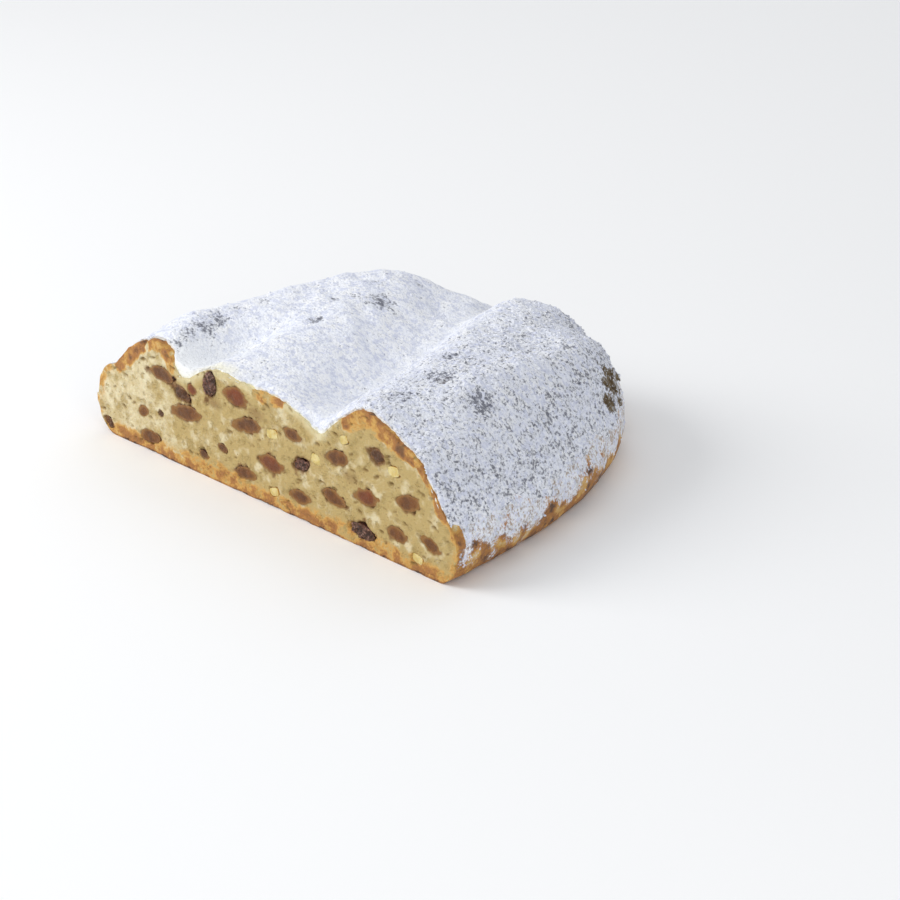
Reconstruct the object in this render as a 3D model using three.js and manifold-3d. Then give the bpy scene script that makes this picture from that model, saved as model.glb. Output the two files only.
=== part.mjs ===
// Half of a stollen: a folded loaf of raisin bread with a thick coat of powdered sugar, cut straight across.
// Millimetres. While it is made, x runs across the cut from its left end, y runs from the cut to the
// rounded end, and z runs up from the surface that the loaf lies on. The last lines centre it.
import * as THREE from 'three';
import { mergeVertices } from 'three/addons/utils/BufferGeometryUtils.js';
import Module from 'manifold-3d';

// Loaf outline, seen from above
const cutWidth = 165;
const loafLength = 126;
const tipAcross = 102; // the rounded end's tip, measured from the left end of the cut
const leftFullness = 2.2; // 2 is an ellipse, and more is squarer
const rightFullness = 2.1;

// Loaf section
const bulgeHeight = 12.5; // the sides reach furthest out at this height
const baseInset = 9; // the flat base lies this far inside the outline
const undersideShares = [0, 0.09, 0.38, 0.7, 1]; // rings from the outline to the base, as shares of the inset
const undersideFullness = 2.2;
const crustRoughness = 0.8;
const wideLobe = { height: 43, hump: 3, humpAt: 80, humpSpread: 38, fall: 7, fallFrom: 88, fallTo: 126 };
const narrowLobe = { height: 47, fall: 8, fallFrom: 35, fallTo: 120 };
const lobeChange = { from: 85, to: 125 }; // across the cut, where one lobe's height gives way to the other's
const wideShoulder = { reach: 38, fullness: 0.95 };
const narrowShoulder = { reach: 40, fullness: 0.75 };
const endShoulder = { reach: 15, from: 30, to: 115 }; // towards the rounded end the shoulder turns tighter

// The fold between the lobes, and the dents where the crust sank beside the cut
const fold = {
  across: 106, drift: -0.29, depth: 14, leftSpread: 19, rightSpread: 11, edge: 14,
  shallower: 0.25, shallowFrom: 20, shallowTo: 110,
};
const cleft = { across: 43, drift: 0.22, depth: 8, spread: 7.5, fadeFrom: 8, fadeTo: 50, edge: 10 };
const dents = [
  { across: 27, depth: 2.6, spread: 11 },
  { across: 50, depth: 2.6, spread: 8 },
  { across: 140, depth: 4.5, spread: 7 },
];
const dentFade = { from: 5, to: 45 };
// The dough swells out above its widest line at the cut's left end
const leftKnob = {
  height: 4.6, rises: 1.6, from: 4.5, to: 11, within: 60, alongFrom: 3, alongTo: 20,
};
const lumps = { height: 0.7, stretch: 2.6, fadeWithin: 20 }; // a slow unevenness all over the crown
// Broad rises and hollows on the crown, where height is at the middle of one
const swells = [
  { across: 25, along: 18, height: 3, spread: 9 },
  { across: 27, along: 32, height: 1.6, spread: 9 },
  { across: 71, along: 106, height: 3, spread: 8 },
  { across: 93, along: 102, height: 1.4, spread: 7 },
  { across: 113.5, along: 112, height: -5, spread: 8.5 },
  { across: 124, along: 103, height: -1.2, spread: 8 },
];
const swellEdge = 4; // a swell fades within this distance of the outline
// How far the crown at the cut lies above the plain form, which it comes back to behind the cut
const cutRises = [
  { across: 0, rise: 0 }, { across: 9, rise: 1.2 }, { across: 22, rise: 0.4 }, { across: 30, rise: 0.6 },
  { across: 37, rise: 2.4 }, { across: 45, rise: 1.4 }, { across: 54, rise: -1.6 },
  { across: 66, rise: -2.4 }, { across: 76, rise: -3.2 }, { across: 83, rise: -0.4 },
  { across: 90, rise: 3 }, { across: 100, rise: 6 }, { across: 107, rise: 4.8 }, { across: 112, rise: 3.6 },
  { across: 118, rise: 0.6 }, { across: 128, rise: 0.6 }, { across: 145, rise: 0.3 },
  { across: cutWidth, rise: 0 },
];
const cutRiseFade = { from: 4, to: 32 };

// Sugar
const gap = 0.3; // between touching pieces
const sugar = {
  rim: 0.45, thin: 0.75, thick: 1.35, waver: 0.3, // depths at the rim, near the cut's left end and elsewhere
  thinWithin: 12, thickBeyond: 46, edge: 9,
  inCleft: 2.6, inFold: 1.9, fillSpread: 6, // more lies in the hollows
  leastInset: 1.3, mostInset: 4.2, // how far its rim lies inside the outline
};
const sugarSinks = 6; // over this distance the dough drops below the sugar
const uprightFrom = 4; // the sugar builds up outwards at the outline, and straight up further in
const uprightTo = 18;

// How finely the surfaces are divided
const columns = 42;
const rows = 20;
const edgeCrowding = 0.35;

// Raisins that the knife went through: across and up give the middle, long and high the size, tilt is in
// degrees, proud is how far one stands out of the cut, and shade picks the colour
const raisins = [
  { across: 4.9, up: 3.5, long: 5, high: 3.6, tilt: -24, proud: 0.3, shade: 'dark' },
  { across: 32.9, up: 29.4, long: 10.3, high: 4.3, tilt: -2, proud: 0, shade: 'brown' },
  { across: 42.6, up: 25.8, long: 9.3, high: 4.2, tilt: -13, proud: 0.3, shade: 'dark' },
  { across: 47.8, up: 28.7, long: 4.4, high: 3.4, tilt: 0, proud: 0, shade: 'red' },
  { across: 56.4, up: 32.6, long: 9.8, high: 6, tilt: 75, proud: 0.8, shade: 'dark' },
  { across: 68.9, up: 32.4, long: 10.9, high: 5.4, tilt: 1, proud: 0, shade: 'red' },
  { across: 23.4, up: 13.3, long: 5.4, high: 4, tilt: 21, proud: 0, shade: 'brown' },
  { across: 44.3, up: 19.2, long: 12.8, high: 4.6, tilt: 9, proud: 0, shade: 'brown' },
  { across: 25.3, up: 5, long: 10.2, high: 4.2, tilt: 6, proud: 0, shade: 'brown' },
  { across: 73.6, up: 24, long: 13, high: 4.6, tilt: 10, proud: 0, shade: 'brown' },
  { across: 52.5, up: 7.5, long: 4.4, high: 2.4, tilt: -20, proud: 0, shade: 'dark' },
  { across: 61.7, up: 12.6, long: 4.2, high: 2.6, tilt: -10, proud: 0, shade: 'brown' },
  { across: 32, up: 15.1, long: 2.4, high: 2, tilt: 7, proud: 0.2, shade: 'dark' },
  { across: 94.4, up: 27.6, long: 6.4, high: 3.8, tilt: -8, proud: 0, shade: 'brown' },
  { across: 72.5, up: 7.4, long: 9.6, high: 4.2, tilt: 8, proud: 0, shade: 'brown' },
  { across: 84.6, up: 14.6, long: 11.2, high: 5, tilt: -4, proud: 0, shade: 'red' },
  { across: 97.5, up: 7.8, long: 10, high: 4.2, tilt: 5, proud: 0, shade: 'brown' },
  { across: 98.4, up: 18.6, long: 8.4, high: 5, tilt: 25, proud: 0.4, shade: 'dark' },
  { across: 112.6, up: 12.4, long: 9.4, high: 4.6, tilt: -10, proud: 0, shade: 'brown' },
  { across: 114.2, up: 26.2, long: 9.6, high: 4.4, tilt: 8, proud: 0, shade: 'brown' },
  { across: 124.8, up: 5.8, long: 11, high: 4.6, tilt: -4, proud: 0.5, shade: 'dark' },
  { across: 126.8, up: 17.4, long: 10.2, high: 5, tilt: 6, proud: 0, shade: 'red' },
  { across: 131.4, up: 32.6, long: 8.2, high: 5, tilt: -18, proud: 0.2, shade: 'dark' },
  { across: 139.6, up: 9.6, long: 8.6, high: 4.4, tilt: -8, proud: 0, shade: 'brown' },
  { across: 144.2, up: 21.8, long: 10, high: 4.8, tilt: 12, proud: 0, shade: 'brown' },
  { across: 154, up: 11, long: 8, high: 4.4, tilt: -18, proud: 0, shade: 'brown' },
];
// Candied peel in the cut, in the same terms
const peels = [
  { across: 84.8, up: 24.8, long: 5.2, high: 3.4, tilt: 14, proud: 0 },
  { across: 104.8, up: 22.8, long: 4.6, high: 3.4, tilt: -12, proud: 0 },
  { across: 117.2, up: 33.4, long: 4.2, high: 3, tilt: 20, proud: 0 },
  { across: 138.4, up: 29.8, long: 4.8, high: 3.4, tilt: 8, proud: 0 },
  { across: 148.2, up: 4.6, long: 4.6, high: 3, tilt: -14, proud: 0 },
  { across: 85.6, up: 5.4, long: 4.4, high: 3, tilt: 15, proud: 0 },
];
const fruitDepth = 0.62; // how deep a piece of fruit goes into the crumb, as a share of its length
const fruitClearance = 0.2; // above the surface that the loaf lies on
const fruitShift = 0.8; // how far a piece's middle lies behind or before the cut, at most
const raisinRoughness = 0.13;
const peelRoughness = 0.04;
const peelCorner = 0.55; // how boxy the peel is, from 0, round, to 1

const colours = {
  crumb: 0xd9c68f, sugar: 0xe6e8f1, brown: 0x7c4f29, dark: 0x3f2c1e, red: 0x7a3a1c, peel: 0xdcc46a,
};

const { lerp, degToRad } = THREE.MathUtils;

// 0 before the first value, 1 after the second, with a smooth step between them
function ramp(from, to, value) {
  const t = Math.min(Math.max((value - from) / (to - from), 0), 1);
  return t * t * (3 - 2 * t);
}

function bell(t) {
  return Math.exp(-t * t);
}

// A gentle unevenness between about -1 and 1
function waver(x, y) {
  return 0.45 * Math.sin(x / 4.1 + 0.7 * Math.sin(y / 6.3)) + 0.35 * Math.sin(y / 5.2 + x / 11.3)
    + 0.2 * Math.sin((x + y) / 2.7 + 1.3);
}

// The half width of the outline on the side where x lies, and how full the outline is there
function outlineSide(x) {
  const left = x < tipAcross;
  return { reach: left ? tipAcross : cutWidth - tipAcross, fullness: left ? leftFullness : rightFullness };
}

// About how far a point of the plan lies inside the outline
function insideDistance(x, y) {
  const { reach, fullness } = outlineSide(x);
  const across = Math.max(Math.abs(x - tipAcross) / reach, 1e-6);
  const along = Math.max(y / loafLength, 1e-4);
  const level = across ** fullness + along ** 2 - 1;
  const slopeX = fullness * across ** (fullness - 1) / reach;
  const slopeY = 2 * along / loafLength;
  return Math.max(-level / Math.hypot(slopeX, slopeY), 0);
}

// The crown's height, before the sides round off
function crownHeight(x, y) {
  const wide = wideLobe.height + wideLobe.hump * bell((y - wideLobe.humpAt) / wideLobe.humpSpread)
    - wideLobe.fall * ramp(wideLobe.fallFrom, wideLobe.fallTo, y);
  const narrow = narrowLobe.height - narrowLobe.fall * ramp(narrowLobe.fallFrom, narrowLobe.fallTo, y);
  return lerp(wide, narrow, ramp(lobeChange.from, lobeChange.to, x));
}

// From 0 at the outline to 1 on the crown
function shoulderRise(x, y) {
  const narrowShare = ramp(lobeChange.from, lobeChange.to, x);
  const endShare = ramp(endShoulder.from, endShoulder.to, y);
  const sideReach = lerp(wideShoulder.reach, narrowShoulder.reach, narrowShare);
  const reach = lerp(sideReach, endShoulder.reach, endShare);
  const fullness = lerp(wideShoulder.fullness, narrowShoulder.fullness, narrowShare);
  const turn = Math.min(insideDistance(x, y) / reach, 1) * Math.PI / 2;
  return Math.sin(turn) ** fullness;
}

function fromFold(x, y) {
  return x - fold.across - fold.drift * y;
}

function foldDepth(x, y) {
  const away = fromFold(x, y);
  const spread = away < 0 ? fold.leftSpread : fold.rightSpread;
  const depth = fold.depth * (1 - fold.shallower * ramp(fold.shallowFrom, fold.shallowTo, y));
  return depth * bell(away / spread) * Math.min(insideDistance(x, y) / fold.edge, 1);
}

function cleftShare(x, y, spread) {
  const away = x - cleft.across - cleft.drift * y;
  return bell(away / spread) * (1 - ramp(cleft.fadeFrom, cleft.fadeTo, y));
}

// The swelling at the cut's left end, which fades away from the cut
function knobHeight(x, y) {
  const inside = insideDistance(x, y);
  const share = ramp(0, leftKnob.rises, inside) * (1 - ramp(leftKnob.from, leftKnob.to, inside));
  const near = 1 - ramp(leftKnob.alongFrom, leftKnob.alongTo, y);
  return x < leftKnob.within ? leftKnob.height * share * near : 0;
}

// The crown's own line along the cut, on straight stretches between the places given for it
function cutRise(x, y) {
  const at = Math.min(Math.max(x, 0), cutWidth);
  const next = Math.max(cutRises.findIndex((place) => place.across >= at), 1);
  const before = cutRises[next - 1];
  const after = cutRises[next];
  const share = (at - before.across) / (after.across - before.across);
  return lerp(before.rise, after.rise, share) * (1 - ramp(cutRiseFade.from, cutRiseFade.to, y));
}

function swellHeight(x, y) {
  let height = 0;
  for (const swell of swells) {
    height += swell.height * bell(Math.hypot(x - swell.across, y - swell.along) / swell.spread);
  }
  return height * ramp(0, swellEdge, insideDistance(x, y));
}

// The outside of the sugared loaf
function topHeight(x, y) {
  let z = bulgeHeight + (crownHeight(x, y) - bulgeHeight) * shoulderRise(x, y);
  z += knobHeight(x, y) + cutRise(x, y) + swellHeight(x, y);
  z -= foldDepth(x, y);
  z -= cleft.depth * cleftShare(x, y, cleft.spread) * Math.min(insideDistance(x, y) / cleft.edge, 1);
  for (const dent of dents) {
    z -= dent.depth * bell((x - dent.across) / dent.spread) * (1 - ramp(dentFade.from, dentFade.to, y));
  }
  const lump = lumps.height * waver(x / lumps.stretch, y / lumps.stretch + 2);
  return z + lump * ramp(0, lumps.fadeWithin, insideDistance(x, y));
}

function sugarThickness(x, y) {
  const inside = ramp(0, sugar.edge, insideDistance(x, y));
  const plain = lerp(sugar.thin, sugar.thick, ramp(sugar.thinWithin, sugar.thickBeyond, x + y));
  const filled = sugar.inCleft * cleftShare(x, y, sugar.fillSpread)
    + sugar.inFold * bell(fromFold(x, y) / sugar.fillSpread);
  return lerp(sugar.rim, plain + filled + sugar.waver * waver(x, y), inside);
}

function doughHeight(x, y) {
  return topHeight(x, y) - (sugarThickness(x, y) + gap) * ramp(0, sugarSinks, insideDistance(x, y));
}

// A point of the plan from square coordinates, across from -1 to 1 and along from 0 to 1. The square's
// left, far and right sides land on the outline, or inside it by the inset.
function planPoint(across, along, insetAt) {
  const discX = across * Math.sqrt(1 - along * along / 2);
  const discY = along * Math.sqrt(1 - across * across / 2);
  const { reach, fullness } = outlineSide(tipAcross + discX);
  const angle = Math.atan2(discY, discX);
  const radius = Math.hypot(reach * Math.cos(angle), loafLength * Math.sin(angle));
  const shrink = 1 - insetAt(angle) / radius;
  const sideShare = Math.sign(discX) * Math.abs(shrink * discX) ** (2 / fullness);
  return new THREE.Vector2(tipAcross + reach * sideShare, loafLength * shrink * discY);
}

function sugarInset(angle) {
  const t = 0.5 + 0.28 * Math.sin(angle * 13) + 0.22 * Math.sin(angle * 29 + 1);
  return lerp(sugar.leastInset, sugar.mostInset, t);
}

// Even steps from -1 to 1, a little closer at both ends
function crowded(t) {
  return lerp(t, Math.sin(t * Math.PI / 2), edgeCrowding);
}

// The dough's top under the sugar, as rows of points from the cut to the rounded end
function doughTop() {
  const grid = [];
  for (let j = 0; j <= rows; j += 1) {
    const line = [];
    for (let i = 0; i <= columns; i += 1) {
      const { x, y } = planPoint(crowded(2 * i / columns - 1), crowded(j / rows), sugarInset);
      line.push(new THREE.Vector3(x, y, doughHeight(x, y)));
    }
    grid.push(line);
  }
  return grid;
}

// The places round the outline, from the left end of the cut past the tip to the right end
function outlinePlaces() {
  const places = [];
  for (let j = 0; j < rows; j += 1) {
    places.push([-1, crowded(j / rows)]);
  }
  for (let i = 0; i <= columns; i += 1) {
    places.push([crowded(2 * i / columns - 1), 1]);
  }
  for (let j = rows - 1; j >= 0; j -= 1) {
    places.push([1, crowded(j / rows)]);
  }
  return places;
}

// The rim of a grid, in the order of outlinePlaces
function rimOf(grid) {
  const left = grid.slice(0, rows).map((line) => line[0]);
  const right = grid.slice(0, rows).map((line) => line[columns]).reverse();
  return [...left, ...grid[rows], ...right];
}

// A ring on the side of the loaf, below the sugar: inset from the outline, at the height that a rule gives
function sideRing(insetAt, heightAt, roughness) {
  return outlinePlaces().map(([across, along]) => {
    const plain = planPoint(across, along, insetAt);
    const bump = roughness * waver(plain.x * 1.7 + 3, plain.y * 1.7);
    const { x, y } = planPoint(across, along, (angle) => insetAt(angle) - bump);
    return new THREE.Vector3(x, y, heightAt(x, y));
  });
}

// How high the rounded lower edge is, at a distance inside the outline
function undersideHeight(inset) {
  const closeness = 1 - inset / baseInset;
  return bulgeHeight * (1 - Math.sqrt(1 - closeness ** undersideFullness));
}

// A closed surface put together from patches and caps
class Skin {
  constructor() {
    this.positions = [];
  }

  triangle(a, b, c) {
    for (const point of [a, b, c]) {
      this.positions.push(point.x, point.y, point.z);
    }
  }

  // Joins lines of points that are equally long. A patch that is turned over faces the other way.
  patch(lines, turnedOver = false) {
    for (let j = 0; j + 1 < lines.length; j += 1) {
      for (let i = 0; i + 1 < lines[j].length; i += 1) {
        const corners = [lines[j][i], lines[j][i + 1], lines[j + 1][i + 1], lines[j + 1][i]];
        const [a, b, c, d] = turnedOver ? [corners[0], corners[3], corners[2], corners[1]] : corners;
        this.triangle(a, b, c);
        this.triangle(a, c, d);
      }
    }
  }

  // Fills a flat outline, with its face towards the given direction
  cap(points, facing) {
    const upright = facing.z === 0;
    const flat = points.map((p) => new THREE.Vector2(p.x, upright ? p.z : p.y));
    for (const [i, j, k] of THREE.ShapeUtils.triangulateShape(flat, [])) {
      const a = points[i];
      const b = points[j];
      const c = points[k];
      const normal = new THREE.Vector3().crossVectors(b.clone().sub(a), c.clone().sub(a));
      if (normal.dot(facing) > 0) {
        this.triangle(a, b, c);
      } else {
        this.triangle(a, c, b);
      }
    }
  }

  geometry() {
    const geometry = new THREE.BufferGeometry();
    geometry.setAttribute('position', new THREE.Float32BufferAttribute(this.positions, 3));
    return mergeVertices(geometry, 1e-4);
  }
}

// The whole loaf without its sugar, before the fruit's pockets are cut
function loafGeometry(top) {
  const rim = rimOf(top);
  const onTop = (x, y) => doughHeight(x, y);
  const rings = [rim, sideRing((angle) => 0.4 * sugarInset(angle), onTop, crustRoughness / 2)];
  for (const share of undersideShares) {
    const inset = share * baseInset;
    rings.push(sideRing(() => inset, () => undersideHeight(inset), crustRoughness * (1 - share)));
  }
  const base = rings[rings.length - 1];
  const leftEdge = rings.slice(1).map((ring) => ring[0]).reverse();
  const rightEdge = rings.slice(1).map((ring) => ring[ring.length - 1]);
  const skin = new Skin();
  skin.patch(top);
  skin.patch(rings);
  skin.cap(base, new THREE.Vector3(0, 0, -1));
  skin.cap([...leftEdge, ...top[0], ...rightEdge], new THREE.Vector3(0, -1, 0));
  return skin.geometry();
}

// The way that the sugar builds up: straight out of the dough near the outline, and upwards on the crown.
// Along the cut's edge it stays in the plane of the cut.
function sugarDirection(point, atCut) {
  const step = 0.4;
  const { x, y } = point;
  const slopeX = (doughHeight(x + step, y) - doughHeight(x - step, y)) / (2 * step);
  const slopeY = (doughHeight(x, y + step) - doughHeight(x, Math.max(y - step, 0))) / (2 * step);
  const outwards = new THREE.Vector3(-slopeX, atCut ? 0 : -slopeY, 1).normalize();
  return outwards.lerp(new THREE.Vector3(0, 0, 1), ramp(uprightFrom, uprightTo, insideDistance(x, y)));
}

// The coat of sugar: a shell that follows the dough a small gap above it
function sugarGeometry(top) {
  const offset = (distanceAt) => top.map((line, j) => line.map((point) => {
    const away = sugarDirection(point, j === 0).multiplyScalar(distanceAt(point.x, point.y));
    return point.clone().add(away);
  }));
  const inner = offset(() => gap);
  const outer = offset((x, y) => gap + sugarThickness(x, y));
  const skin = new Skin();
  skin.patch(outer);
  skin.patch(inner, true);
  skin.patch([inner[0], outer[0]]);
  skin.patch([rimOf(outer), rimOf(inner)]);
  return skin.geometry();
}

// A wrinkled lump, long in x and high in z, a little different for each key
function lumpGeometry(piece, key, roughness, boxiness, grow) {
  const shape = new THREE.IcosahedronGeometry(1, 1);
  const points = shape.getAttribute('position');
  const half = new THREE.Vector3(piece.long, piece.long * fruitDepth * 2, piece.high).multiplyScalar(0.5);
  const direction = new THREE.Vector3();
  for (let i = 0; i < points.count; i += 1) {
    direction.fromBufferAttribute(points, i);
    const wrinkle = Math.sin(direction.x * 3.1 + key) * Math.cos(direction.z * 4.3 + 2 * key);
    const largest = Math.max(Math.abs(direction.x), Math.abs(direction.y), Math.abs(direction.z));
    direction.multiplyScalar(lerp(1, 0.8 / largest, boxiness) * (1 + roughness * wrinkle));
    direction.multiply(half.clone().addScalar(grow));
    points.setXYZ(i, direction.x, direction.y, direction.z);
  }
  shape.rotateY(-degToRad(piece.tilt));
  shape.translate(piece.across, fruitShift * Math.sin(key * 2.4), piece.up);
  return shape;
}

const wasm = await Module();
wasm.setup();

function solidFrom(geometry) {
  geometry.deleteAttribute('normal');
  geometry.deleteAttribute('uv');
  const merged = mergeVertices(geometry, 1e-4);
  return new wasm.Manifold(new wasm.Mesh({
    numProp: 3,
    vertProperties: new Float32Array(merged.getAttribute('position').array),
    triVerts: new Uint32Array(merged.getIndex().array),
  }));
}

function geometryFrom(solid) {
  const mesh = solid.getMesh();
  const geometry = new THREE.BufferGeometry();
  geometry.setAttribute('position', new THREE.BufferAttribute(mesh.vertProperties, 3));
  geometry.setIndex(new THREE.BufferAttribute(mesh.triVerts, 1));
  geometry.computeVertexNormals();
  return geometry;
}

// Everything behind a plane that stands parallel to the cut, in front of it by the given distance
function behindCut(proud) {
  const block = new THREE.BoxGeometry(3 * cutWidth, loafLength, cutWidth);
  block.translate(cutWidth / 2, loafLength / 2 - proud, cutWidth / 2 + fruitClearance);
  return solidFrom(block);
}

function namedMesh(name, geometry, colour, roughness) {
  const material = new THREE.MeshStandardMaterial({ color: colour, roughness, metalness: 0 });
  material.name = name;
  const mesh = new THREE.Mesh(geometry, material);
  mesh.name = name;
  return mesh;
}

const twoDigits = (index) => String(index + 1).padStart(2, '0');

// Cuts a pocket for each piece into the loaf and gives back the pieces as meshes
function setIntoCut(loaf, pieces, { name, roughness, boxiness, start, finish, colourOf }) {
  const meshes = [];
  let remaining = loaf;
  pieces.forEach((piece, index) => {
    const key = start + index;
    const lump = solidFrom(lumpGeometry(piece, key, roughness, boxiness, 0));
    const pocket = solidFrom(lumpGeometry(piece, key, roughness, boxiness, gap));
    remaining = remaining.subtract(pocket);
    const shape = geometryFrom(lump.intersect(behindCut(piece.proud)));
    meshes.push(namedMesh(`${name}_${twoDigits(index)}`, shape, colourOf(piece), finish));
  });
  return { loaf: remaining, meshes };
}

const top = doughTop();
const whole = solidFrom(loafGeometry(top));
const withRaisins = setIntoCut(whole, raisins, {
  name: 'raisin', roughness: raisinRoughness, boxiness: 0, start: 1, finish: 0.45,
  colourOf: (piece) => colours[piece.shade],
});
const withPeel = setIntoCut(withRaisins.loaf, peels, {
  name: 'peel', roughness: peelRoughness, boxiness: peelCorner, start: 50, finish: 0.35,
  colourOf: () => colours.peel,
});

const stollen = new THREE.Group();
stollen.name = 'stollen';
stollen.position.set(-cutWidth / 2, -loafLength / 2, 0);
stollen.add(namedMesh('loaf', geometryFrom(withPeel.loaf), colours.crumb, 0.85));
stollen.add(namedMesh('sugar_coat', geometryFrom(solidFrom(sugarGeometry(top))), colours.sugar, 0.9));
stollen.add(...withRaisins.meshes, ...withPeel.meshes);

const model = new THREE.Group();
model.add(stollen);
export default model;
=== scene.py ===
import math

import bmesh
import bpy
import numpy as np
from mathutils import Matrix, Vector
from mathutils.geometry import delaunay_2d_cdt


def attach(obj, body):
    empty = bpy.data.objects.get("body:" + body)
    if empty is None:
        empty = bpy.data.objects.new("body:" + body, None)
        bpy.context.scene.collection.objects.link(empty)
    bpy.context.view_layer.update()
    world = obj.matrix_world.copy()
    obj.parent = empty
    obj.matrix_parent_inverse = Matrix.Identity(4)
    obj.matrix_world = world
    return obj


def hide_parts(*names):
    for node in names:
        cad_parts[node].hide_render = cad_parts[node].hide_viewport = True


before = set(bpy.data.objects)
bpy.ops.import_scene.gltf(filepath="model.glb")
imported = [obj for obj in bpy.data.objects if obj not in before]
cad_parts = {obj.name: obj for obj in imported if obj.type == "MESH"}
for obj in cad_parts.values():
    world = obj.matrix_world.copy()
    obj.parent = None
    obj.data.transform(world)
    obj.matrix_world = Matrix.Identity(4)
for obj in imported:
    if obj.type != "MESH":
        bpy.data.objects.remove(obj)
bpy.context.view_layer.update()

mm = 0.001  # shapes are worked out in millimetres, and meshes are made in metres

# The shapes use x from the cut's left end, y from the cut to the rounded end and z from the table.
# The frame's origin lies under the middle of the loaf.
form = {
    "cutWidth": 165.0,
    "loafLength": 126.0,
    "tipAcross": 102.0,
    "leftFullness": 2.2,
    "rightFullness": 2.1,
    "bulgeHeight": 12.5,
    "baseInset": 9.0,
    "undersideFullness": 2.2,
    "crustRoughness": 0.8,
    "wideLobe": {"height": 43.0, "hump": 3.0, "humpAt": 80.0, "humpSpread": 38.0,
                 "fall": 7.0, "fallOver": (88.0, 126.0), "reach": 38.0, "fullness": 0.95},
    "narrowLobe": {"height": 47.0, "fall": 8.0, "fallOver": (35.0, 120.0), "reach": 40.0, "fullness": 0.75},
    "lobeChange": (85.0, 125.0),
    "endShoulder": {"reach": 15.0, "over": (30.0, 115.0)},
    "fold": {"across": 106.0, "drift": -0.29, "depth": 14.0, "leftSpread": 19.0, "rightSpread": 11.0,
             "edge": 14.0, "shallower": 0.25, "shallowOver": (20.0, 110.0)},
    "cleft": {"across": 43.0, "drift": 0.22, "depth": 8.0, "spread": 7.5, "fade": (8.0, 50.0), "edge": 10.0},
    "dents": ((27.0, 2.6, 11.0), (50.0, 2.6, 8.0), (140.0, 4.5, 7.0)),  # across, depth and spread
    "dentFade": (5.0, 45.0),
    "lumps": {"height": 0.7, "stretch": 2.6, "fadeWithin": 20.0},
    # broad rises and hollows on top: across, along, height, spread
    "swells": ((25.0, 18.0, 3.0, 9.0), (27.0, 32.0, 1.6, 9.0), (71.0, 106.0, 3.0, 8.0),
               (93.0, 102.0, 1.4, 7.0), (113.5, 112.0, -5.0, 8.5), (124.0, 103.0, -1.2, 8.0)),
    # how far the crown at the cut lies above the plain form, from the left end on; it fades behind the cut
    "cutRises": ((0.0, 0.0), (9.0, 1.2), (22.0, 0.4), (30.0, 0.6), (37.0, 2.4), (45.0, 1.4),
                 (54.0, -1.6), (66.0, -2.4), (76.0, -3.2), (83.0, -0.4), (90.0, 3.0), (100.0, 6.0),
                 (107.0, 4.8), (112.0, 3.6), (118.0, 0.6), (128.0, 0.6), (145.0, 0.3), (165.0, 0.0)),
    "cutRiseFade": (4.0, 32.0),
    "notch": {"across": 25.3, "depth": 2.3, "spread": 1.3, "fade": (2.0, 9.0)},  # a split in the crust
    # the cut's left end swells out above its widest line
    "leftKnob": {"height": 4.6, "rises": 1.6, "falls": (4.5, 11.0), "within": 60.0, "fade": (3.0, 20.0)},
}

frameMiddle = np.array([form["cutWidth"] / 2, form["loafLength"] / 2, 0.0])

sugarForm = {
    "rim": 0.45, "thin": 0.75, "thick": 1.35, "waver": 0.3,
    "thinWithin": 12.0, "thickBeyond": 46.0, "edge": 9.0,
    "inCleft": 2.6, "inFold": 1.9, "fillSpread": 6.0,
    "leastInset": 1.3, "mostInset": 4.2,
    "sinks": 6.0, "gap": 0.3,
}


# Numbers that change smoothly

def ramp(low, high, value):
    t = np.clip((value - low) / (high - low), 0.0, 1.0)
    return t * t * (3.0 - 2.0 * t)


def between(start, stop, soft, value):
    return ramp(start - soft, start + soft, value) * ramp(stop + soft, stop - soft, value)


def bell(t):
    return np.exp(-t * t)


def blend(a, b, share):
    return a + (b - a) * share


def waver(x, y):
    first = 0.45 * np.sin(x / 4.1 + 0.7 * np.sin(y / 6.3))
    second = 0.35 * np.sin(y / 5.2 + x / 11.3)
    return first + second + 0.2 * np.sin((x + y) / 2.7 + 1.3)


def softNoise(points, cell, seed):
    # smooth random values from -1 to 1, which change over about one cell
    size = 32
    table = np.random.default_rng(seed).uniform(-1.0, 1.0, (size, size, size))
    turned = points @ np.array([[0.8, 0.36, -0.48], [0.0, 0.8, 0.6], [0.6, -0.48, 0.64]])
    scaled = turned / cell + 1000.0
    base = np.floor(scaled).astype(int)
    part = scaled - base
    part = part * part * (3.0 - 2.0 * part)
    total = np.zeros(len(points))
    for corner in np.ndindex(2, 2, 2):
        weight = np.prod(np.where(corner, part, 1.0 - part), axis=1)
        index = (base + corner) % size
        total += weight * table[index[:, 0], index[:, 1], index[:, 2]]
    return total


def noises(points, *parts):
    # each part: how strong, its cell and its seed
    return sum(strength * softNoise(points, cell, seed) for strength, cell, seed in parts)


def layeredNoise(points, cell, seed, layers=3):
    total = np.zeros(len(points))
    for layer in range(layers):
        total += softNoise(points, cell / 2 ** layer, seed + layer) / 2 ** layer
    return total / 1.6


def cellDistance(points, cell, seed):
    # distance to the nearest random centre, with one centre in each cell
    size = 16
    shifts = np.random.default_rng(seed).random((size, size, size, 3))
    scaled = points / cell + 500.0
    base = np.floor(scaled).astype(int)
    nearest = np.full(len(points), 9.0)
    for offset in np.ndindex(3, 3, 3):
        corner = base + np.array(offset) - 1
        index = corner % size
        centre = corner + shifts[index[:, 0], index[:, 1], index[:, 2]]
        nearest = np.minimum(nearest, np.linalg.norm(scaled - centre, axis=1))
    return nearest


def pointsAt(x, y, z=0.0):
    # places as rows of three numbers
    return np.stack([part.ravel() for part in np.broadcast_arrays(x, y, z)], axis=1)


# The loaf's form

def outlineSide(x):
    left = x < form["tipAcross"]
    reach = np.where(left, form["tipAcross"], form["cutWidth"] - form["tipAcross"])
    return reach, np.where(left, form["leftFullness"], form["rightFullness"])


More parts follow.
